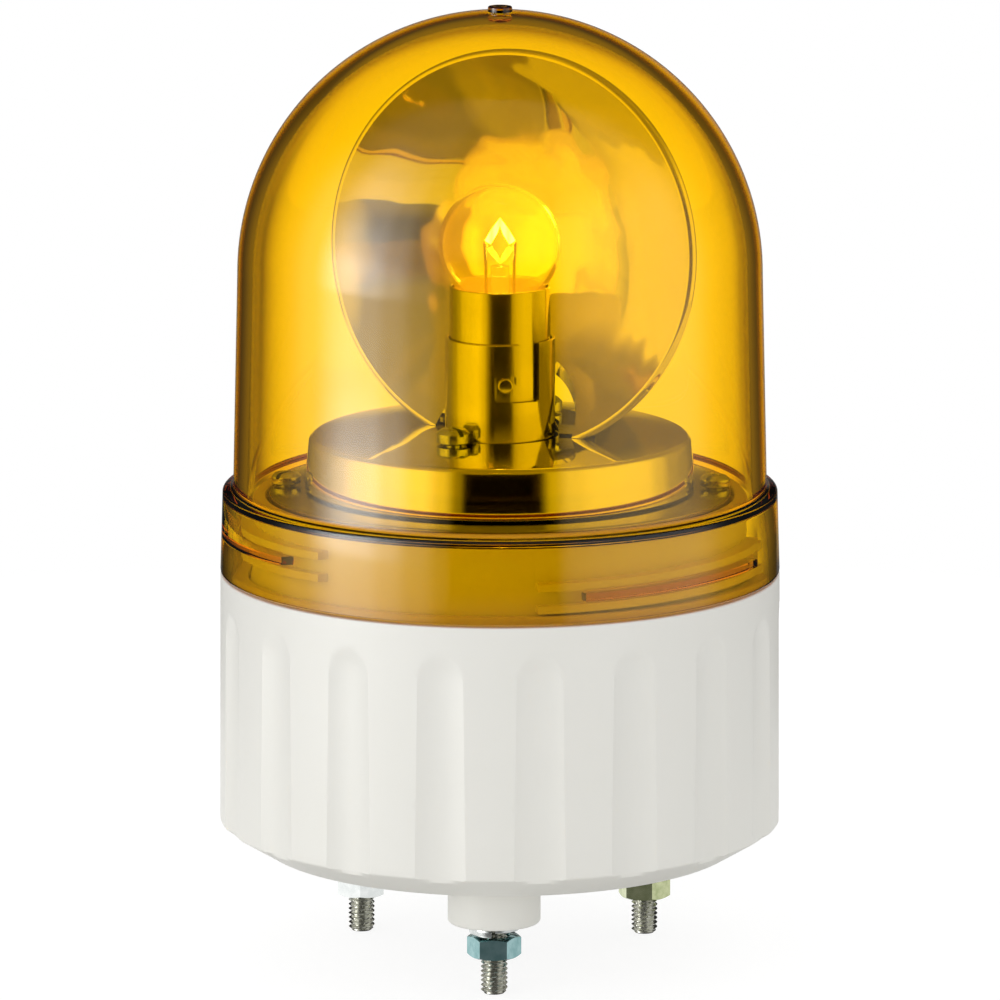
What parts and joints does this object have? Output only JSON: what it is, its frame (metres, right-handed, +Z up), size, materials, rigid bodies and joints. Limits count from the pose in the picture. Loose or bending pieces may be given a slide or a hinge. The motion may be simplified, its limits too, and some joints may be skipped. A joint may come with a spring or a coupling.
{
  "type": "rotating beacon light",
  "caption": "Rotating warning beacon: screw-on amber globe over a motor-turned mirror reflector and bayonet bulb, on a fluted round base with stud feet.",
  "frame": {"origin": "centre of the plane of the three foot faces, on the rotor's axis", "axes": "+Z up along the rotor's axis towards the globe's top; the front foot points along -Y"},
  "size_m": [0.0842, 0.0844, 0.1444],
  "materials": {
    "housing_plastic": "off-white moulded plastic, fine matt grain",
    "amber_globe": "clear amber moulding, gloss",
    "mirror_plating": "vacuum-plated mirror surface",
    "black_rubber": "black rubber, matt",
    "natural_silicone": "natural silicone rubber, satin",
    "zinc_steel": "zinc-plated steel, satin",
    "dark_steel": "black-finished steel sheet",
    "white_acetal": "natural white acetal",
    "brass": "plain brass",
    "sintered_bronze": "sintered bronze, matt",
    "nickel_plate": "bright nickel plate",
    "phenolic": "brown phenolic board",
    "bulb_glass": "clear glass",
    "tungsten": "coiled filament wire",
    "solder": "solder tip, satin",
    "red_lead": "red insulated wire",
    "black_lead": "black insulated wire"
  },
  "bodies": {
    "base": {"base_housing": "housing_plastic", "cable_grommet": "black_rubber", "mounting_screw_front": "zinc_steel", "mounting_screw_right": "zinc_steel", "mounting_screw_left": "zinc_steel", "spring_washer_front": "zinc_steel", "spring_washer_right": "zinc_steel", "spring_washer_left": "zinc_steel", "hex_nut_front": "zinc_steel", "hex_nut_right": "zinc_steel", "hex_nut_left": "zinc_steel", "deck_plate": "dark_steel", "deck_screw_right": "zinc_steel", "deck_screw_left": "zinc_steel", "motor_can": "zinc_steel", "motor_end_cap": "white_acetal", "motor_terminal_left": "brass", "motor_terminal_right": "brass", "motor_screw_left": "zinc_steel", "motor_screw_right": "zinc_steel", "deck_bush": "sintered_bronze", "socket_bracket": "zinc_steel", "bracket_screw_left": "zinc_steel", "bracket_screw_right": "zinc_steel", "socket_tube": "nickel_plate", "socket_foot_disc": "phenolic", "contact_spring": "zinc_steel", "terminal_block": "white_acetal", "block_screw": "zinc_steel", "terminal_screw_left": "zinc_steel", "terminal_screw_right": "zinc_steel", "motor_lead_left": "black_lead", "motor_lead_right": "red_lead", "contact_lead": "red_lead", "socket_lead": "black_lead"},
    "rotor": {"drive_gear": "white_acetal", "rotor_clip": "zinc_steel", "rotor_drum": "mirror_plating", "rotor_screw_front": "zinc_steel", "rotor_screw_back": "zinc_steel", "reflector": "mirror_plating"},
    "motor_rotor": {"motor_shaft": "zinc_steel", "pinion": "brass"},
    "gasket": {"globe_gasket": "natural_silicone"},
    "globe": {"globe": "amber_globe"},
    "bulb": {"bulb_cap": "nickel_plate", "bulb_glass": "bulb_glass", "bulb_base_insulator": "phenolic", "bulb_tip_contact": "solder", "glass_stem": "bulb_glass", "filament_support_left": "nickel_plate", "filament_support_right": "nickel_plate", "filament": "tungsten"},
    "contact": {"contact_disc": "phenolic", "contact_stud": "brass"}
  },
  "joints": [
    {"name": "rotor_spin", "type": "hinge", "parent": "base", "child": "rotor", "pos_m": [0, 0, 0.06], "axis": [0, 0, 1], "continuous": true},
    {"name": "motor_spin", "type": "hinge", "parent": "base", "child": "motor_rotor", "pos_m": [0, 0.0216, 0.06], "axis": [0, 0, 1], "continuous": true},
    {"name": "globe_twist", "type": "hinge", "parent": "base", "child": "gasket", "pos_m": [0, 0, 0.05], "axis": [0, 0, 1], "range_deg": [0, 720]},
    {"name": "globe_lift", "type": "slide", "parent": "gasket", "child": "globe", "axis": [0, 0, 1], "range_m": [0, 0.0065]},
    {"name": "bulb_push", "type": "slide", "parent": "base", "child": "bulb", "axis": [0, 0, 1], "range_m": [-0.0013, 0], "stiffness_N_per_m": 1500, "springref_m": 0.003},
    {"name": "contact_slide", "type": "slide", "parent": "base", "child": "contact", "axis": [0, 0, 1], "range_m": [-0.0013, 0], "deforming": ["contact_spring", "contact_lead"]}
  ],
  "couplings": [
    {"joint": "motor_spin", "follows": "rotor_spin", "ratio": -4.4},
    {"joint": "globe_lift", "follows": "globe_twist", "m_per_rad": 0.0005093},
    {"joint": "contact_slide", "follows": "bulb_push", "ratio": 1}
  ]
}
